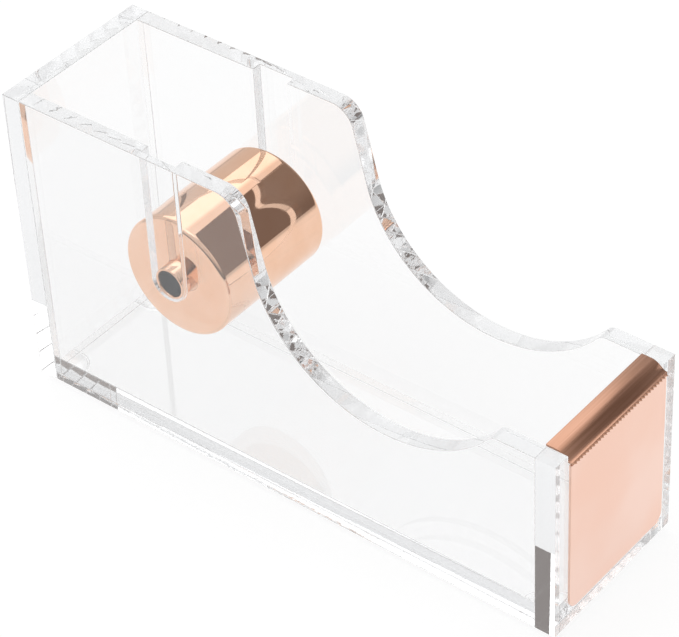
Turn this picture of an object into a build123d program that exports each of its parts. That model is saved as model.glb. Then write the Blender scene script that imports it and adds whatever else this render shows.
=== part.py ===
from build123d import *
import os

# Desktop tape dispenser: a clear acrylic case, a metal cutting edge and face plate at
# the front, and a drum that lifts out of two slots to take a one-inch tape core.
# +X is the cutting end, Y runs across the case and +Z is up. The origin is on the
# table, under the middle of the whole object. Left and right are the user's, who
# faces the cutting edge: left is -Y.

# Case
case_length = 125.0
case_width = 36.5
rear_height = 67.5
front_height = 41.0
side_thickness = 3.6
end_thickness = 4.3  # front wall, back wall and base
foot_diameter = 8.0
foot_height = 1.6
foot_inset = 5.2  # from each outer face to the middle of a foot
foot_edge_radius = 0.8

# Curved top edge of the side walls, measured from the middle of the case
bow_x = 25.5
bow_z = 58.7
bow_radius = 29.5
bow_lean = 13.0  # degrees that the edge leans back as it leaves the bow
shoulder_radius = 5.0
crest_radius = 2.5

# Drum and axle
spool_x = -25.3
spool_z = 39.0
drum_radius = 12.6
drum_length = 26.2
drum_wall = 1.2
cap_thickness = 1.2
cap_edge_radius = 1.0
spigot_length = 4.0
spigot_wall = 1.0
hub_radius = 5.0
hub_length = 6.0
axle_radius = 3.3
axle_wall = 0.5
axle_length = 32.7
axle_clearance = 0.05
plug_length = 4.0
plug_recess = 0.3
slot_radius = 4.0
slot_depth = 2.0
slot_seat_gap = 0.3  # between the axle and the bottom of its slot

# Cutting edge and face plate
blade_thickness = 0.45
blade_width = 29.2
blade_overlap = 4.6  # how far the blade reaches back over the front wall
blade_bend = 1.8  # from the front face back to the first bend
blade_top_drop = 0.05  # the blade's seat, below the top of the wall's ends
blade_toe_drop = 1.65
blade_toe = 0.25
blade_reach = 1.4
blade_tip_rise = 0.15
blade_outer_radius = 2.6
blade_inner_radius = 1.6
tooth_pitch = 0.9
tooth_depth = 0.55
adhesive_thickness = 0.15
adhesive_border = 1.5
plate_thickness = 0.6
plate_width = 29.2
plate_bottom = 4.2
plate_top_gap = 0.25
plate_corner_radius = 2.2

# The blade's tip stands in front of the case, so the case sits a little to the rear.
case_x = -blade_reach / 2
rear_x = case_x - case_length / 2
front_x = case_x + case_length / 2
floor_z = foot_height
top_z = floor_z + rear_height
front_top_z = floor_z + front_height
half_width = case_width / 2
inner_half = half_width - side_thickness
axle_x = case_x + spool_x
axle_z = floor_z + spool_z
seat_z = front_top_z - blade_top_drop
toe_z = seat_z - blade_toe_drop

os.makedirs("parts", exist_ok=True)

# Outline of a side wall, seen along Y. The bow leaves its circle where the edge leans
# back by bow_lean, and runs straight from there up to the shoulder.
bow_centre = Vector(case_x + bow_x, floor_z + bow_z)
bow_start = bow_centre + Vector(-bow_radius, 0).rotate(Axis.Z, bow_lean)
bow_end_dx = (bow_radius**2 - (bow_centre.Y - front_top_z) ** 2) ** 0.5
bow_end = Vector(bow_centre.X + bow_end_dx, front_top_z)
bow_low = Vector(bow_centre.X, bow_centre.Y - bow_radius)
edge_run = Vector(0, 1).rotate(Axis.Z, bow_lean)
shoulder = bow_start + edge_run * ((top_z - bow_start.Y) / edge_run.Y)
wall_rear_x = rear_x + end_thickness
wall_front_x = front_x - end_thickness

with BuildSketch(Plane.XZ) as wall_outline:
    with BuildLine():
        Polyline(
            (bow_end.X, bow_end.Y),
            (wall_front_x, front_top_z),
            (wall_front_x, floor_z),
            (wall_rear_x, floor_z),
            (wall_rear_x, top_z),
            (shoulder.X, shoulder.Y),
            (bow_start.X, bow_start.Y),
        )
        ThreePointArc((bow_start.X, bow_start.Y), (bow_low.X, bow_low.Y), (bow_end.X, bow_end.Y))
    make_face()
    shoulder_corner = wall_outline.vertices().sort_by_distance(shoulder)[0]
    fillet(shoulder_corner, radius=shoulder_radius)
    crest_corner = wall_outline.vertices().sort_by_distance(bow_end)[0]
    fillet(crest_corner, radius=crest_radius)

# Side walls, each with a blind slot in its inner face that is open at the top.
for side, side_name in ((-1, "left"), (1, "right")):
    outer_y = half_width if side > 0 else -inner_half
    with BuildPart() as side_wall:
        with BuildSketch(Plane.XZ.offset(-outer_y)):
            add(wall_outline.sketch_local)
        extrude(amount=side_thickness)
        slot_y = inner_half + slot_depth if side > 0 else -inner_half
        with BuildSketch(Plane.XZ.offset(-slot_y)):
            slot_mid_z = axle_z - axle_radius - slot_seat_gap + slot_radius
            slot_top = top_z + 1
            with Locations((axle_x, slot_mid_z)):
                Circle(slot_radius)
            with Locations((axle_x, (slot_mid_z + slot_top) / 2)):
                Rectangle(2 * slot_radius, slot_top - slot_mid_z)
        extrude(amount=slot_depth, mode=Mode.SUBTRACT)
    side_wall.part.label = "side_wall_" + side_name
    export_step(side_wall.part, "parts/side_wall_" + side_name + ".step")

# Back wall, across the full width.
with BuildPart() as back_wall:
    with BuildSketch(Plane.XY.offset(floor_z)):
        with Locations((rear_x + end_thickness / 2, 0)):
            Rectangle(end_thickness, case_width)
    extrude(amount=rear_height)
back_wall.part.label = "back_wall"
export_step(back_wall.part, "parts/back_wall.step")

# Base, let in between the four walls.
with BuildPart() as base_plate:
    with BuildSketch(Plane.XY.offset(floor_z)):
        with Locations((case_x, 0)):
            Rectangle(case_length - 2 * end_thickness, 2 * inner_half)
    extrude(amount=end_thickness)
base_plate.part.label = "base_plate"
export_step(base_plate.part, "parts/base_plate.step")

# The blade's underside, seen along Y: flat on the wall, down over its front edge and
# out again to the tip.
blade_points = (
    (front_x - blade_overlap, seat_z),
    (front_x - blade_bend, seat_z),
    (front_x + blade_toe, toe_z),
    (front_x + blade_reach, toe_z + blade_tip_rise),
)
with BuildLine() as blade_underside:
    FilletPolyline(*blade_points, radius=[blade_outer_radius, blade_inner_radius])

# Front wall, across the full width, with a rounded seat for the blade in its top edge.
with BuildPart() as front_wall:
    with BuildSketch(Plane.XY.offset(floor_z)):
        with Locations((front_x - end_thickness / 2, 0)):
            Rectangle(end_thickness, case_width)
    extrude(amount=front_height)
    with BuildSketch(Plane.XZ.offset(-blade_width / 2)):
        with BuildLine():
            add(blade_underside.line)
            Polyline(
                blade_points[-1],
                (blade_points[-1][0], front_top_z + 1),
                (blade_points[0][0], front_top_z + 1),
                blade_points[0],
            )
        make_face()
    extrude(amount=blade_width, mode=Mode.SUBTRACT)
front_wall.part.label = "front_wall"
export_step(front_wall.part, "parts/front_wall.step")

# Cutter blade: a bent strip with a row of teeth along its front edge.
tooth_count = int(blade_width / tooth_pitch)
with BuildPart() as cutter_blade:
    with BuildSketch(Plane.XZ.offset(-blade_width / 2)):
        with BuildLine():
            add(blade_underside.line)
            offset(amount=blade_thickness, side=Side.LEFT)
        make_face()
    extrude(amount=blade_width)
    with BuildSketch(Plane.XY.offset(toe_z - 1)):
        with Locations((front_x + blade_reach, 0)):
            with GridLocations(0, tooth_pitch, 1, tooth_count + 1):
                with BuildLine():
                    Polyline(
                        (0.1, -tooth_pitch / 2),
                        (-tooth_depth, 0),
                        (0.1, tooth_pitch / 2),
                        close=True,
                    )
                make_face()
    extrude(amount=3, mode=Mode.SUBTRACT)
cutter_blade.part.label = "cutter_blade"
export_step(cutter_blade.part, "parts/cutter_blade.step")

# Face plate on the front wall, held by a thin sheet of clear adhesive.
plate_top_z = toe_z - plate_top_gap
plate_height = plate_top_z - floor_z - plate_bottom
plate_mid_z = floor_z + plate_bottom + plate_height / 2
with BuildPart() as plate_adhesive:
    with BuildSketch(Plane.YZ.offset(front_x)):
        with Locations((0, plate_mid_z)):
            Rectangle(plate_width - 2 * adhesive_border, plate_height - 2 * adhesive_border)
    extrude(amount=adhesive_thickness)
plate_adhesive.part.label = "plate_adhesive"
export_step(plate_adhesive.part, "parts/plate_adhesive.step")

with BuildPart() as front_plate:
    with BuildSketch(Plane.YZ.offset(front_x + adhesive_thickness)) as plate_outline:
        with Locations((0, plate_mid_z)):
            Rectangle(plate_width, plate_height)
        fillet(plate_outline.vertices().group_by(Axis.Y)[0], plate_corner_radius)
    extrude(amount=plate_thickness)
front_plate.part.label = "front_plate"
export_step(front_plate.part, "parts/front_plate.step")

# Four round feet under the corners of the case.
foot_x = case_length / 2 - foot_inset
foot_y = half_width - foot_inset
for end, end_name in ((-1, "rear"), (1, "front")):
    for side, side_name in ((-1, "left"), (1, "right")):
        with BuildPart() as foot:
            with BuildSketch(Plane.XY):
                with Locations((case_x + end * foot_x, side * foot_y)):
                    Circle(foot_diameter / 2)
            extrude(amount=foot_height)
            fillet(foot.edges().group_by(Axis.Z)[0], foot_edge_radius)
        foot_name = "foot_" + end_name + "_" + side_name
        foot.part.label = foot_name
        export_step(foot.part, "parts/" + foot_name + ".step")

# Drum sleeve: a plain tube between the two end caps.
sleeve_length = drum_length - 2 * cap_thickness
sleeve_bore = drum_radius - drum_wall
with BuildPart() as spool_sleeve:
    with BuildSketch(Plane.XZ.offset(-sleeve_length / 2)):
        with Locations((axle_x, axle_z)):
            Circle(drum_radius)
            Circle(sleeve_bore, mode=Mode.SUBTRACT)
    extrude(amount=sleeve_length)
spool_sleeve.part.label = "spool_sleeve"
export_step(spool_sleeve.part, "parts/spool_sleeve.step")

# End caps: a disc with a rounded rim, a spigot that fits the sleeve, and a hub that
# runs on the axle.
for side, side_name in ((-1, "left"), (1, "right")):
    inner_face = Plane(
        origin=(axle_x, side * sleeve_length / 2, axle_z),
        x_dir=(1, 0, 0),
        z_dir=(0, side, 0),
    )
    with BuildPart() as cap:
        with BuildSketch(inner_face):
            Circle(drum_radius)
        extrude(amount=cap_thickness)
        rim = cap.edges().filter_by(GeomType.CIRCLE).sort_by(Axis.Y)[0 if side < 0 else -1]
        fillet(rim, cap_edge_radius)
        with BuildSketch(inner_face):
            Circle(sleeve_bore)
            Circle(sleeve_bore - spigot_wall, mode=Mode.SUBTRACT)
        extrude(amount=-spigot_length)
        with BuildSketch(inner_face):
            Circle(hub_radius)
        extrude(amount=-hub_length)
        with BuildSketch(inner_face.offset(cap_thickness)):
            Circle(axle_radius + axle_clearance)
        extrude(amount=-cap_thickness - hub_length, mode=Mode.SUBTRACT)
    cap.part.label = "spool_cap_" + side_name
    export_step(cap.part, "parts/spool_cap_" + side_name + ".step")

# Axle: a tube right through the drum, whose ends stand in the slots.
axle_bore = axle_radius - axle_wall
with BuildPart() as spool_axle:
    with BuildSketch(Plane.XZ.offset(-axle_length / 2)):
        with Locations((axle_x, axle_z)):
            Circle(axle_radius)
            Circle(axle_bore, mode=Mode.SUBTRACT)
    extrude(amount=axle_length)
spool_axle.part.label = "spool_axle"
export_step(spool_axle.part, "parts/spool_axle.step")

# Plugs that close the ends of the axle.
for side, side_name in ((-1, "left"), (1, "right")):
    plug_face = Plane(
        origin=(axle_x, side * (axle_length / 2 - plug_recess), axle_z),
        x_dir=(1, 0, 0),
        z_dir=(0, side, 0),
    )
    with BuildPart() as plug:
        with BuildSketch(plug_face):
            Circle(axle_bore)
        extrude(amount=-plug_length)
    plug.part.label = "axle_plug_" + side_name
    export_step(plug.part, "parts/axle_plug_" + side_name + ".step")
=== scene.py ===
import math

import bmesh
import bpy
from mathutils import Matrix, Vector


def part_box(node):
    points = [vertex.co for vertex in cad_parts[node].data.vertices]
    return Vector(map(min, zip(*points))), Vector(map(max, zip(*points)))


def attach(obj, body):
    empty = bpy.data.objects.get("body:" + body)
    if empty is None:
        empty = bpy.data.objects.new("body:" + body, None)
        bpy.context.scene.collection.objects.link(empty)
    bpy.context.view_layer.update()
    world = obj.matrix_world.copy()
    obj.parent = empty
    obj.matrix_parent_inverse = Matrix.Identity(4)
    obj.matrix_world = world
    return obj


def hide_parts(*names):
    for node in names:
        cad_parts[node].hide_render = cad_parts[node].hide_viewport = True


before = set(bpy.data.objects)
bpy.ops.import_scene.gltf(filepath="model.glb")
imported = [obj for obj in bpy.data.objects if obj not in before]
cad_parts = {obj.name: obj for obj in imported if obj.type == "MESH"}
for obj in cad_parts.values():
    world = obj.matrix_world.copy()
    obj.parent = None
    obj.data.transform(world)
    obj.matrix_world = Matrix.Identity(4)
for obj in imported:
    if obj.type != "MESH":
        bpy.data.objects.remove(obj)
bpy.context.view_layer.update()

mm = 0.001

# Where things are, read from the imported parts
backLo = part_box("back_wall")[0]
frontLo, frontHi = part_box("front_wall")
axleLo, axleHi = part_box("spool_axle")
sleeveLo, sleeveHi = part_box("spool_sleeve")
plateLo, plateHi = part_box("front_plate")
bladeLo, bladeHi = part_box("cutter_blade")
caseMidX = (backLo.x + frontHi.x) / 2
axleX = (axleLo.x + axleHi.x) / 2
axleZ = (axleLo.z + axleHi.z) / 2
print("frame read: case", [round(v / mm, 1) for v in frontHi - backLo], "mm")


# Shader maths: a wrapped output socket adds its own Math nodes
class Wire:
    def __init__(self, tree, socket):
        self.tree = tree
        self.socket = socket

    def node(self, kind, settings=None, out=0, **inputs):
        made = self.tree.nodes.new(kind)
        for name, value in (settings or {}).items():
            if name == "stops":
                ramp = made.color_ramp
                while len(ramp.elements) < len(value):
                    ramp.elements.new(0.5)
                for stop, (place, colour) in zip(ramp.elements, value):
                    stop.position = place
                    stop.color = (*colour, 1)
            else:
                setattr(made, name, value)
        for name, value in inputs.items():
            key = int(name[1:]) if name[0] == "i" and name[1:].isdigit() else name.replace("_", " ")
            if isinstance(value, Wire):
                self.tree.links.new(value.socket, made.inputs[key])
            else:
                made.inputs[key].default_value = value
        return Wire(self.tree, made.outputs[out])

    def maths(self, operation, a, b=0.0):
        return self.node("ShaderNodeMath", {"operation": operation}, i0=a, i1=b)

    def __add__(self, other):
        return self.maths("ADD", self, other)

    def __radd__(self, other):
        return self.maths("ADD", other, self)

    def __sub__(self, other):
        return self.maths("SUBTRACT", self, other)

    def __rsub__(self, other):
        return self.maths("SUBTRACT", other, self)

    def __mul__(self, other):
        return self.maths("MULTIPLY", self, other)

    def __rmul__(self, other):
        return self.maths("MULTIPLY", other, self)

    def step(self, low, high):
        return self.node("ShaderNodeMapRange", {"interpolation_type": "SMOOTHSTEP"},
                         i0=self, i1=low, i2=high, i3=0.0, i4=1.0)

    def noise(self, scale, detail=2.0, stretch=(1, 1, 1), rough=0.5):
        place = self.node("ShaderNodeMapping", Vector=self, Scale=stretch)
        return self.node("ShaderNodeTexNoise", Vector=place, Scale=scale, Detail=detail, Roughness=rough)

    def blend(self, low, high):
        return self.node("ShaderNodeMix", {"data_type": "RGBA"}, out=2, i0=self, i6=(*low, 1), i7=(*high, 1))

    def bump(self, strength, distance):
        return self.node("ShaderNodeBump", Height=self, Strength=strength, Distance=distance)


def newMaterial(name, fixed, paint):
    mat = bpy.data.materials.new(name)
    mat.use_nodes = True
    tree = mat.node_tree
    shader = tree.nodes["Principled BSDF"]
    for socket, value in fixed.items():
        shader.inputs[socket].default_value = value
    start = Wire(tree, tree.nodes.new("ShaderNodeTexCoord").outputs["Object"])
    for socket, wire in paint(start).items():
        tree.links.new(wire.socket, shader.inputs[socket])
    return mat


# Clear cast acrylic: still and flat on its faces, faintly wavy where an edge was polished
acrylic = {
    "ior": 1.49,
    "tint": (0.958, 0.959, 0.961, 1),
    "edgeTint": (0.88, 0.885, 0.893, 1),
    "faceWave": 0.02,
    "faceWaveSize": 14 * mm,
    "faceWaveDepth": 0.02 * mm,
    "edgeWave": 0.12,
    "edgeWaveSize": 2.2 * mm,
    "edgeWaveDepth": 0.05 * mm,
    "seam": 0.02 * mm,
}
softClear = {"ior": 1.41, "roughness": 0.05, "wave": 0.4, "waveSize": 1.5 * mm, "waveDepth": 0.05 * mm}
seam = acrylic["seam"]


def clearPaint(waveSize, waveDepth, strength):
    def paint(place):
        ripple = place.noise(1 / waveSize, 2.0)
        fine = place.noise(6 / waveSize, 2.0)
        return {"Normal": (ripple + 0.06 * fine).bump(strength, waveDepth)}
    return paint


clearFixed = {
    "Base Color": acrylic["tint"],
    "Roughness": 0.0,
    "IOR": acrylic["ior"],
    "Transmission Weight": 1.0,
}
edgeFixed = {**clearFixed, "Base Color": acrylic["edgeTint"]}
softFixed = {**clearFixed, "Roughness": softClear["roughness"], "IOR": softClear["ior"]}
clearFace = newMaterial("clearFace", clearFixed, clearPaint(
    acrylic["faceWaveSize"], acrylic["faceWaveDepth"], acrylic["faceWave"]))
clearEdge = newMaterial("clearEdge", edgeFixed, clearPaint(
    acrylic["edgeWaveSize"], acrylic["edgeWaveDepth"], acrylic["edgeWave"]))
clearSoft = newMaterial("clearSoft", softFixed, clearPaint(
    softClear["waveSize"], softClear["waveDepth"], softClear["wave"]))


# Rose gold: a polished plating, a satin sheet and a brushed one; the brushed blade is painted darker
# overall, painted shade for the dark band it reflects
satinTones = {"deep": (0.91, 0.6, 0.48), "light": (0.93, 0.67, 0.57)}
# the blade's tones sit well below the other rose golds: painted shade for its dark reflected band, with real
# brushed grain between deep and light
brushedShadeTones = {"deep": (0.5, 0.27, 0.18), "light": (0.6, 0.34, 0.24)}
roseGold = {"light": (0.92, 0.61, 0.45), "deep": (0.89, 0.56, 0.39)}


def polishedPaint(place):
    cloud = place.noise(140, 3.0)
    scuff = place.noise(900, 4.0, (1, 0.08, 1))
    return {
        "Base Color": cloud.step(0.3, 0.7).blend(roseGold["deep"], roseGold["light"]),
        "Roughness": 0.035 + 0.05 * scuff.step(0.45, 0.75),
        "Normal": (0.4 * place.noise(60) + 0.02 * scuff).bump(0.05, 0.1 * mm),
    }


def satinPaint(place):
    grain = place.noise(2500, 3.0, (1, 1, 0.15))
    cloud = place.noise(40, 2.0)
    return {
        "Base Color": cloud.step(0.3, 0.7).blend(satinTones["deep"], satinTones["light"]),
        "Roughness": 0.26 + 0.08 * grain,
        "Normal": grain.bump(0.05, 0.02 * mm),
    }


def brushedShadedPaint(place):
    line = place.noise(2600, 3.0, (1, 0.015, 1))
    return {
        # base colour carries painted shade (the whole blade darkened) plus the brushed grain
        "Base Color": line.step(0.3, 0.7).blend(brushedShadeTones["deep"], brushedShadeTones["light"]),
        "Roughness": 0.26 + 0.12 * line,
        "Normal": line.bump(0.06, 0.02 * mm),
    }


polishedGold = newMaterial("polishedGold", {"Metallic": 1.0}, polishedPaint)
satinGold = newMaterial("satinGold", {"Metallic": 1.0}, satinPaint)
brushedShadedGold = newMaterial("brushedShadedGold", {"Metallic": 1.0}, brushedShadedPaint)


def rubberPaint(place):
    grain = place.noise(3000, 3.0)
    return {
        "Base Color": grain.blend((0.008, 0.011, 0.015), (0.02, 0.025, 0.032)),
        "Roughness": 0.4 + 0.25 * grain,
        "Normal": grain.bump(0.2, 0.03 * mm),
    }


blackRubber = newMaterial("blackRubber", {"Specular IOR Level": 0.4}, rubberPaint)


def gluePaint(place):
    return {"Normal": place.noise(700, 3.0).bump(0.3, 0.03 * mm)}


clearGlue = newMaterial("clearGlue", {**clearFixed, "Roughness": 0.08, "IOR": 1.47}, gluePaint)
print("materials made")


# Mesh helpers
def newPiece(name, mesh, body, replaced, slotName, *materials):
    mesh.name = name
    piece = bpy.data.objects.new(name, mesh)
    bpy.context.scene.collection.objects.link(piece)
    for mat in materials:
        mesh.materials.append(mat)
    piece["body"] = body
    piece["slotName"] = slotName
    piece["replaced"] = replaced
    return piece


def meshOf(build):
    work = bmesh.new()
    build(work)
    bmesh.ops.recalc_face_normals(work, faces=work.faces)
    mesh = bpy.data.meshes.new("work")
    work.to_mesh(mesh)
    work.free()
    return mesh


def boxMesh(lo, hi):
    def build(work):
        bmesh.ops.create_cube(work, size=1.0)
        for vert in work.verts:
            vert.co = Vector((lo[i] if vert.co[i] < 0 else hi[i]) for i in range(3))
    return meshOf(build)


def prismMesh(outline, lowY, highY):
    def build(work):
        near = [work.verts.new((x, lowY, z)) for x, z in outline]
        far = [work.verts.new((x, highY, z)) for x, z in outline]
        work.faces.new(near)
        work.faces.new(list(reversed(far)))
        for i in range(len(outline)):
            j = (i + 1) % len(outline)
            work.faces.new((near[i], near[j], far[j], far[i]))
    return meshOf(build)


def latheMesh(profile, around=128, closed=True):
    # profile is (radius, y) pairs, turned about the axle
    def build(work):
        rings = []
        for radius, y in profile:
            if radius < 1e-9:
                rings.append([work.verts.new((axleX, y, axleZ))])
            else:
                turns = [2 * math.pi * i / around for i in range(around)]
                rings.append([work.verts.new((axleX + radius * math.cos(t), y, axleZ + radius * math.sin(t)))
                              for t in turns])
        pairs = list(zip(rings, rings[1:]))
        if closed:
            pairs.append((rings[-1], rings[0]))
        for a, b in pairs:
            for i in range(around):
                j = (i + 1) % around
                if len(a) == 1 and len(b) == 1:
                    break
                if len(a) == 1:
                    work.faces.new((a[0], b[j], b[i]))
                elif len(b) == 1:
                    work.faces.new((a[i], a[j], b[0]))
                else:
                    work.faces.new((a[i], a[j], b[j], b[i]))
    return meshOf(build)


def arcPoints(centreX, centreZ, radius, startDeg, endDeg, count):
    turns = [math.radians(startDeg + (endDeg - startDeg) * i / count) for i in range(count + 1)]
    return [(centreX + radius * math.cos(t), centreZ + radius * math.sin(t)) for t in turns]


def roundCorner(before, corner, after, radius, count=12):
    corner = Vector(corner)
    toBefore = (Vector(before) - corner).normalized()
    toAfter = (Vector(after) - corner).normalized()
    half = toBefore.angle(toAfter) / 2
    middle = corner + (toBefore + toAfter).normalized() * (radius / math.sin(half))
    start = corner + toBefore * (radius / math.tan(half)) - middle
    end = corner + toAfter * (radius / math.tan(half)) - middle
    sweep = start.angle_signed(end)
    points = []
    for i in range(count + 1):
        turn = Matrix.Rotation(-sweep * i / count, 2)
        points.append(tuple(middle + turn @ start))
    return points


def baked(piece):
    graph = bpy.context.evaluated_depsgraph_get()
    mesh = bpy.data.meshes.new_from_object(piece.evaluated_get(graph))
    piece.modifiers.clear()
    piece.data = mesh
    return piece


def cutAway(piece, cutterMesh):
    cutter = bpy.data.objects.new("cutter", cutterMesh)
    bpy.context.scene.collection.objects.link(cutter)
    cut = piece.modifiers.new("cut", "BOOLEAN")
    cut.operation = "DIFFERENCE"
    cut.solver = "EXACT"
    cut.object = cutter
    baked(piece)
    bpy.data.objects.remove(cutter)
    return piece


def softened(piece, width, segments=2, angle=30):
    edge = piece.modifiers.new("edge", "BEVEL")
    edge.width = width
    edge.segments = segments
    edge.limit_method = "ANGLE"
    edge.angle_limit = math.radians(angle)
    return baked(piece)


def smoothed(piece, angle=30):
    piece.data.polygons.foreach_set("use_smooth", [True] * len(piece.data.polygons))
    piece.data.set_sharp_from_angle(angle=math.radians(angle))
    return piece


def flatFaced(piece):
    # eased edges stay round while the flat faces beside them stay truly flat
    piece.data.polygons.foreach_set("use_smooth", [True] * len(piece.data.polygons))
    even = piece.modifiers.new("even", "WEIGHTED_NORMAL")
    even.mode = "FACE_AREA"
    even.weight = 100
    even.keep_sharp = False
    return baked(piece)


def placed(piece):
    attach(piece, piece["body"])
    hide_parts(*piece["replaced"].split())
    return piece


# Side walls: a flat top, a rounded shoulder, a lean, a wide bow and a small crest
sideWall = {
    "bowX": 25.5 * mm,
    "bowZ": 58.7 * mm,
    "bowRadius": 29.5 * mm,
    "bowLean": 13.0,
    "shoulderRadius": 5.0 * mm,
    "crestRadius": 2.5 * mm,
    "slotRadius": 4.0 * mm,
    "slotDepth": 2.0 * mm,
    "slotSeatGap": 0.3 * mm,
    "edgeWidth": 0.18 * mm,
}


def wallOutline(lo, hi):
    s = sideWall
    centre = Vector((caseMidX + s["bowX"], lo.z + s["bowZ"]))
    radius = s["bowRadius"]
    lean = math.radians(s["bowLean"])
    bowStart = centre - radius * Vector((math.cos(lean), math.sin(lean)))
    rise = (hi.z - bowStart.y) / math.cos(lean)
    shoulder = bowStart + rise * Vector((-math.sin(lean), math.cos(lean)))
    crestZ = frontHi.z - s["crestRadius"]
    reach = radius + s["crestRadius"]
    crestX = centre.x + math.sqrt(reach**2 - (centre.y - crestZ) ** 2)
    meet = math.degrees(math.atan2(crestZ - centre.y, crestX - centre.x))
    outline = [(lo.x, hi.z), (lo.x, lo.z), (hi.x, lo.z), (hi.x, frontHi.z)]
    outline += arcPoints(crestX, crestZ, s["crestRadius"], 90, 180 + meet, 10)
    outline += arcPoints(centre.x, centre.y, radius, meet, -180 + s["bowLean"], 72)[1:]
    outline += roundCorner(bowStart, shoulder, (lo.x, hi.z), s["shoulderRadius"])
    return outline


def slotOutline(topZ):
    s = sideWall
    radius = s["slotRadius"]
    middleZ = axleLo.z - s["slotSeatGap"] + radius
    bottom = arcPoints(axleX, middleZ, radius, 180, 360, 32)
    return bottom + [(axleX + radius, topZ), (axleX - radius, topZ)]


def paintEdges(piece, flatAxis):
    for face in piece.data.polygons:
        face.material_index = 0 if abs(face.normal[flatAxis]) > 0.9 else 1


def makeSideWall(node, inward):
    lo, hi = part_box(node)
    piece = newPiece("clear_" + node, prismMesh(wallOutline(lo, hi), lo.y, hi.y),
                     "case", node, "clear_acrylic", clearFace, clearEdge)
    innerY = hi.y if inward > 0 else lo.y
    past = innerY + inward * mm
    deep = innerY - inward * sideWall["slotDepth"]
    cutAway(piece, prismMesh(slotOutline(hi.z + mm), min(past, deep), max(past, deep)))
    softened(piece, sideWall["edgeWidth"])
    paintEdges(piece, 1)
    return placed(flatFaced(piece))


makeSideWall("side_wall_left", 1)
makeSideWall("side_wall_right", -1)
print("side walls made")

leftLo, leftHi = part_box("side_wall_left")
rightLo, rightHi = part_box("side_wall_right")
caseLo = Vector(min(a, b) for a, b in zip(leftLo, rightLo))
caseHi = Vector(max(a, b) for a, b in zip(leftHi, rightHi))


def seamed(lo, hi):
    # a hair of air is left wherever a wall meets its neighbours, so each sheet keeps its own faces
    low = Vector(lo[i] + (seam if lo[i] > caseLo[i] + seam else 0) for i in range(3))
    high = Vector(hi[i] - (seam if hi[i] < caseHi[i] - seam else 0) for i in range(3))
    return low, high


# Flat walls and the base
for node, flatAxis in (("back_wall", 0), ("base_plate", 2)):
    flat = newPiece("clear_" + node, boxMesh(*seamed(*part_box(node))), "case", node, "clear_acrylic",
                    clearFace, clearEdge)
    softened(flat, sideWall["edgeWidth"])
    paintEdges(flat, flatAxis)
    placed(flatFaced(flat))

# Cutter blade: an S-shaped strip that starts behind the front wall and ends in teeth
blade = {
    "overlap": 4.6 * mm,
    "bend": 1.8 * mm,
    "seatDrop": 0.05 * mm,
    "toeDrop": 1.65 * mm,
    "toe": 0.25 * mm,
    "reach": 1.4 * mm,
    "tipRise": 0.15 * mm,
    "outerRadius": 2.6 * mm,
    "innerRadius": 1.6 * mm,
    "thickness": 0.45 * mm,
    "toothPitch": 0.9 * mm,
    "toothDepth": 0.55 * mm,
    "toothRoot": 0.05 * mm,
    "pointLow": 0.12 * mm,
    "pointThick": 0.1 * mm,
    "edgeWidth": 0.08 * mm,
}


def bladeUnderside():
    b = blade
    seatZ = frontHi.z - b["seatDrop"]
    toeZ = seatZ - b["toeDrop"]
    corners = [
        (frontHi.x - b["overlap"], seatZ),
        (frontHi.x - b["bend"], seatZ),
        (frontHi.x + b["toe"], toeZ),
        (frontHi.x + b["reach"], toeZ + b["tipRise"]),
    ]
    line = [corners[0]]
    line += roundCorner(corners[0], corners[1], corners[2], b["outerRadius"], 16)
    line += roundCorner(corners[1], corners[2], corners[3], b["innerRadius"], 16)
    return line + [corners[3]]


def offsetLine(line, distance):
    points = [Vector(p) for p in line]
    moved = []
    for i, point in enumerate(points):
        ahead = points[min(i + 1, len(points) - 1)] - points[max(i - 1, 0)]
        ahead.normalize()
        moved.append(tuple(point + distance * Vector((-ahead.y, ahead.x))))
    return moved


underside = bladeUnderside()

# Front wall, with the blade's seat cut into the middle of its top edge
frontWall = newPiece("clear_front_wall", boxMesh(*seamed(frontLo, frontHi)), "case", "front_wall",
                     "clear_acrylic", clearFace, clearEdge)
seatLine = offsetLine(underside, -seam)
seatBack, seatFront = seatLine[0][0] - seam, seatLine[-1][0]
seatAbove = frontHi.z + mm
seat = [(seatBack, seatLine[0][1]), *seatLine, (seatFront, seatAbove), (seatBack, seatAbove)]
cutAway(frontWall, prismMesh(seat, bladeLo.y - seam, bladeHi.y + seam))
softened(frontWall, sideWall["edgeWidth"])
paintEdges(frontWall, 0)
placed(flatFaced(frontWall))
print("flat walls made")

# The blade's strip stops at the root of the teeth
toothRoot = frontHi.x + blade["reach"] - blade["toothDepth"]
strip = [p for p in underside if p[0] < toothRoot]
last, tip = Vector(strip[-1]), Vector(underside[-1])
share = (toothRoot - last.x) / (tip.x - last.x)
strip.append(tuple(last.lerp(tip, share)))
lift = blade["thickness"]
upper = offsetLine(strip, lift)
bladePiece = newPiece("blade_strip", prismMesh(strip + upper[::-1], bladeLo.y, bladeHi.y),
                      "case", "cutter_blade", "rose_gold_blade", brushedShadedGold)
softened(bladePiece, blade["edgeWidth"], 2, 50)

# One tooth, thinned towards its point, which the node tree repeats along the edge
toothEnd = Vector(upper[-1])
halfPitch = blade["toothPitch"] / 2


def toothBuild(work):
    rootLow, rootHigh = Vector(strip[-1]), toothEnd
    point = tip + Vector((0, blade["pointLow"]))
    back = blade["toothRoot"]
    corners = [
        (rootLow.x - back, -halfPitch, rootLow.y), (rootLow.x - back, halfPitch, rootLow.y),
        (rootHigh.x - back, halfPitch, rootHigh.y), (rootHigh.x - back, -halfPitch, rootHigh.y),
        (point.x, 0, point.y), (point.x, 0, point.y + blade["pointThick"]),
    ]
    v = [work.verts.new(c) for c in corners]
    for ring in ((0, 1, 2, 3), (0, 4, 1), (3, 2, 5), (1, 4, 5, 2), (0, 3, 5, 4)):
        work.faces.new([v[i] for i in ring])


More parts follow.
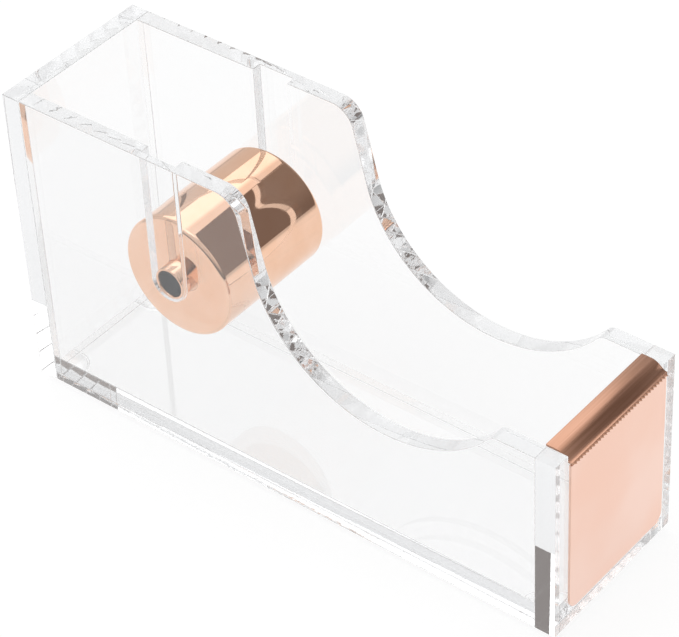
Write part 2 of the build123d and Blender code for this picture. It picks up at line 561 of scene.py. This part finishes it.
def toothTree():
    tree = bpy.data.node_groups.new("toothRow", "GeometryNodeTree")
    face = tree.interface
    face.new_socket("Geometry", in_out="INPUT", socket_type="NodeSocketGeometry")
    names = (("Count", "NodeSocketInt"), ("Pitch", "NodeSocketFloat"), ("Start", "NodeSocketFloat"),
             ("Metal", "NodeSocketMaterial"))
    for name, kind in names:
        face.new_socket(name, in_out="INPUT", socket_type=kind)
    face.new_socket("Geometry", in_out="OUTPUT", socket_type="NodeSocketGeometry")
    given = tree.nodes.new("NodeGroupInput")
    result = tree.nodes.new("NodeGroupOutput")
    line = tree.nodes.new("GeometryNodeMeshLine")
    startAt = tree.nodes.new("ShaderNodeCombineXYZ")
    stepBy = tree.nodes.new("ShaderNodeCombineXYZ")
    copies = tree.nodes.new("GeometryNodeInstanceOnPoints")
    real = tree.nodes.new("GeometryNodeRealizeInstances")
    metal = tree.nodes.new("GeometryNodeSetMaterial")
    for a, b in (
        (given.outputs["Count"], line.inputs["Count"]),
        (given.outputs["Start"], startAt.inputs["Y"]),
        (given.outputs["Pitch"], stepBy.inputs["Y"]),
        (startAt.outputs[0], line.inputs["Start Location"]),
        (stepBy.outputs[0], line.inputs["Offset"]),
        (line.outputs["Mesh"], copies.inputs["Points"]),
        (given.outputs["Geometry"], copies.inputs["Instance"]),
        (copies.outputs["Instances"], real.inputs["Geometry"]),
        (real.outputs["Geometry"], metal.inputs["Geometry"]),
        (given.outputs["Metal"], metal.inputs["Material"]),
        (metal.outputs["Geometry"], result.inputs["Geometry"]),
    ):
        tree.links.new(a, b)
    return tree


teeth = bpy.data.objects.new("teeth", meshOf(toothBuild))
bpy.context.scene.collection.objects.link(teeth)
rowTree = toothTree()
row = teeth.modifiers.new("row", "NODES")
row.node_group = rowTree
socketIds = {item.name: item.identifier for item in rowTree.interface.items_tree if item.in_out == "INPUT"}
toothCount = int((bladeHi.y - bladeLo.y) / blade["toothPitch"])
row[socketIds["Count"]] = toothCount
row[socketIds["Pitch"]] = blade["toothPitch"]
row[socketIds["Start"]] = -blade["toothPitch"] * (toothCount - 1) / 2
row[socketIds["Metal"]] = brushedShadedGold
baked(teeth)

both = bmesh.new()
both.from_mesh(bladePiece.data)
both.from_mesh(teeth.data)
both.to_mesh(bladePiece.data)
both.free()
bpy.data.objects.remove(teeth)
placed(smoothed(bladePiece, 40))
print("blade made, with", toothCount, "teeth")

# Face plate: a sheet with rounded lower corners and eased edges, and its adhesive
facePlate = {"cornerRadius": 2.2 * mm, "edgeWidth": 0.12 * mm, "glueEdgeWidth": 0.03 * mm}


def plateBuild(work):
    radius = facePlate["cornerRadius"]
    outline = [(plateLo.y, plateHi.z)]
    outline += arcPoints(plateLo.y + radius, plateLo.z + radius, radius, 180, 270, 10)
    outline += arcPoints(plateHi.y - radius, plateLo.z + radius, radius, 270, 360, 10)
    outline += [(plateHi.y, plateHi.z)]
    near = [work.verts.new((plateLo.x, y, z)) for y, z in outline]
    far = [work.verts.new((plateHi.x, y, z)) for y, z in outline]
    work.faces.new(near)
    work.faces.new(list(reversed(far)))
    for i in range(len(outline)):
        j = (i + 1) % len(outline)
        work.faces.new((near[i], near[j], far[j], far[i]))


plate = newPiece("face_plate", meshOf(plateBuild), "case", "front_plate", "rose_gold_plate", satinGold)
softened(plate, facePlate["edgeWidth"], 3, 50)
placed(flatFaced(plate))
glueLo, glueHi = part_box("plate_adhesive")
glueGap = Vector((seam, 0, 0))
glue = newPiece("glue_sheet", boxMesh(glueLo + glueGap, glueHi - glueGap), "case", "plate_adhesive",
                "clear_adhesive", clearGlue)
softened(glue, facePlate["glueEdgeWidth"], 1)
placed(flatFaced(glue))

# Drum: a sleeve between two capped ends, turned in one go each
drum = {
    "wall": 1.2 * mm,
    "cap": 1.2 * mm,
    "rim": 1.0 * mm,
    "spigot": 4.0 * mm,
    "spigotWall": 1.0 * mm,
    "hubRadius": 5.0 * mm,
    "hub": 6.0 * mm,
    "boreRadius": 3.35 * mm,
    "around": 192,
}
drumRadius = (sleeveHi.x - sleeveLo.x) / 2
boreRadius = drumRadius - drum["wall"]
sleeve = newPiece("drum_sleeve", latheMesh([
    (drumRadius, sleeveLo.y), (drumRadius, sleeveHi.y), (boreRadius, sleeveHi.y), (boreRadius, sleeveLo.y)],
    drum["around"]), "spool", "spool_sleeve", "rose_gold_polished", polishedGold)
placed(smoothed(sleeve))


def capProfile(faceY, side):
    d = drum
    outY = faceY + side * d["cap"]
    profile = [(d["boreRadius"], faceY - side * d["hub"]), (d["boreRadius"], outY)]
    rim = arcPoints(0, 0, d["rim"], 90, 0, 10)
    profile += [(drumRadius - d["rim"] + out, outY - side * (d["rim"] - along)) for out, along in rim]
    profile += [(drumRadius, faceY), (boreRadius, faceY), (boreRadius, faceY - side * d["spigot"])]
    inner = boreRadius - d["spigotWall"]
    profile += [(inner, faceY - side * d["spigot"]), (inner, faceY), (d["hubRadius"], faceY)]
    profile += [(d["hubRadius"], faceY - side * d["hub"])]
    return profile


for node, faceY, side in (("spool_cap_left", sleeveLo.y, -1), ("spool_cap_right", sleeveHi.y, 1)):
    cap = newPiece("drum_cap" + node[9:], latheMesh(capProfile(faceY, side), drum["around"]), "spool", node,
                   "rose_gold_polished", polishedGold)
    placed(smoothed(cap))

# Axle tube with eased ends, and the black plugs in it
axle = {
    "wall": 0.5 * mm,
    "ease": 0.15 * mm,
    "plugRecess": 0.3 * mm,
    "plugLength": 4.0 * mm,
    "plugEase": 0.2 * mm,
    "plugFlat": 0.93,
    "dish": 0.25 * mm,
    "dishSpan": 0.8,
    "dishSteps": 8,
}
axleRadius = (axleHi.x - axleLo.x) / 2
tubeBore = axleRadius - axle["wall"]
ease = axle["ease"]
tube = newPiece("axle_tube", latheMesh([
    (axleRadius - ease, axleLo.y), (axleRadius, axleLo.y + ease), (axleRadius, axleHi.y - ease),
    (axleRadius - ease, axleHi.y), (tubeBore + ease, axleHi.y), (tubeBore, axleHi.y - ease),
    (tubeBore, axleLo.y + ease), (tubeBore + ease, axleLo.y)], 96),
    "axle", "spool_axle", "rose_gold_polished", polishedGold)
placed(smoothed(tube, 50))

for node, endY, side in (("axle_plug_left", axleLo.y, -1), ("axle_plug_right", axleHi.y, 1)):
    outY = endY - side * axle["plugRecess"]
    shares = [i / axle["dishSteps"] for i in range(axle["dishSteps"] + 1)]
    dishRadius = tubeBore * axle["dishSpan"]
    dish = [(dishRadius * share, outY - side * axle["dish"] * (1 - share**2)) for share in shares]
    profile = dish + [(tubeBore * axle["plugFlat"], outY), (tubeBore, outY - side * axle["plugEase"])]
    profile += [(tubeBore, outY - side * axle["plugLength"]), (0, outY - side * axle["plugLength"])]
    plug = newPiece("plug" + node[9:], latheMesh(profile, 96, closed=False), "axle", node,
                    "black_rubber", blackRubber)
    placed(smoothed(plug, 50))
print("drum and axle made")

# Feet: low clear domes
foot = {"sole": 0.62, "steps": 10, "around": 48}
for node in ("foot_front_left", "foot_front_right", "foot_rear_left", "foot_rear_right"):
    lo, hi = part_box(node)
    radius = (hi.x - lo.x) / 2
    middle = (lo + hi) / 2
    topZ = hi.z - seam

    def footBuild(work):
        rings = []
        around = foot["around"]
        turns = [2 * math.pi * i / around for i in range(around)]
        for step in range(foot["steps"] + 1):
            rise = math.pi / 2 * step / foot["steps"]
            ringRadius = radius * (foot["sole"] + (1 - foot["sole"]) * math.sin(rise))
            z = topZ - (topZ - lo.z) * math.cos(rise)
            rings.append([work.verts.new((middle.x + ringRadius * math.cos(t),
                                          middle.y + ringRadius * math.sin(t), z)) for t in turns])
        work.faces.new(rings[0])
        work.faces.new(list(reversed(rings[-1])))
        for a, b in zip(rings, rings[1:]):
            for i in range(around):
                j = (i + 1) % around
                work.faces.new((a[i], a[j], b[j], b[i]))

    pad = newPiece("clear_" + node, meshOf(footBuild), "case", node, "clear_rubber", clearSoft)
    placed(smoothed(pad, 40))
print("feet made")

# Floor, light and camera
studio = {
    "floorSize": 8.0,
    "floorGlow": 0.9,
    "fade": (0.25, 1.0),
    "farGlow": 0.6,
    "softboxPlace": (-0.5, 0.2, 1.1),
    "softboxSize": 1.5,
    "softboxEnergy": 6,
    "passes": 160,
    "cameraPlace": (263.42 * mm, -308.44 * mm, 369.36 * mm),
    "cameraTarget": (0.18 * mm, 0, 33.37 * mm),
    "cameraRoll": 3.216,
    "lens": 150.6,
    "bright": 0.78,
    "dim": 0.19,
    "dimTint": (1.12, 0.97, 0.91),
    "horizon": 0.12,
}
floorSize = studio["floorSize"]
floor = bpy.data.objects.new("floor", boxMesh((-floorSize, -floorSize, -0.02), (floorSize, floorSize, 0)))
bpy.context.scene.collection.objects.link(floor)


def floorPaint(place):
    # the glow fades away from the object, so that the clear edges pick up soft greys
    away = place.node("ShaderNodeVectorMath", {"operation": "LENGTH"}, out=1, i0=place)
    return {
        "Base Color": place.noise(3).blend((0.14, 0.14, 0.14), (0.15, 0.15, 0.15)),
        "Emission Color": away.step(*studio["fade"]).blend((1, 1, 1), (studio["farGlow"],) * 3),
    }


floorMat = newMaterial("floorWhite", {
    "Roughness": 0.7, "Emission Strength": studio["floorGlow"], "Specular IOR Level": 0.0}, floorPaint)
floor.data.materials.append(floorMat)

world = bpy.data.worlds.new("studio")
bpy.context.scene.world = world
world.use_nodes = True
skyTree = world.node_tree
backdrop = skyTree.nodes["Background"]
toSky = Wire(skyTree, skyTree.nodes.new("ShaderNodeTexCoord").outputs["Generated"])
skyX = toSky.node("ShaderNodeSeparateXYZ", out=0, i0=toSky)
skyY = toSky.node("ShaderNodeSeparateXYZ", out=1, i0=toSky)
skyZ = toSky.node("ShaderNodeSeparateXYZ", out=2, i0=toSky)
darkSide = (skyX + 0.2 * skyZ).step(-0.15, 0.0) * skyY.step(0.2, 0.35) * (1 - skyY.step(0.8, 0.9))
lowSky = (1 - skyZ.step(0.05, 0.62)) * skyX.step(-0.7, -0.25)
glow = studio["bright"] - (studio["bright"] - studio["horizon"]) * lowSky
skyLight = glow - (glow - studio["dim"]) * darkSide
skyColour = darkSide.blend((1, 1, 1), studio["dimTint"])
skyTree.links.new(skyColour.socket, backdrop.inputs["Color"])
skyTree.links.new(skyLight.socket, backdrop.inputs["Strength"])

softbox = bpy.data.lights.new("softbox", "AREA")
softbox.shape = "RECTANGLE"
softbox.size = studio["softboxSize"]
softbox.size_y = studio["softboxSize"]
softbox.energy = studio["softboxEnergy"]
softboxObj = bpy.data.objects.new("softbox", softbox)
bpy.context.scene.collection.objects.link(softboxObj)
softboxPlace = Vector(studio["softboxPlace"])
softboxObj.location = softboxPlace
softboxObj.rotation_euler = (-softboxPlace).to_track_quat("-Z", "Y").to_euler()

lens = bpy.data.cameras.new("camera")
lens.lens = studio["lens"]
lens.sensor_width = 36
lens.clip_start = 0.01
camera = bpy.data.objects.new("camera", lens)
bpy.context.scene.collection.objects.link(camera)
place = Vector(studio["cameraPlace"])
look = (Vector(studio["cameraTarget"]) - place).to_track_quat("-Z", "Y").to_matrix().to_4x4()
roll = Matrix.Rotation(math.radians(-studio["cameraRoll"]), 4, "Z")
camera.matrix_world = Matrix.Translation(place) @ look @ roll
bpy.context.scene.camera = camera
bpy.context.scene.view_settings.view_transform = "Standard"

# Light runs a long way inside a clear sheet, from face to face
paths = bpy.context.scene.cycles
paths.max_bounces = studio["passes"]
paths.glossy_bounces = studio["passes"]
paths.transmission_bounces = studio["passes"]
print("studio made")
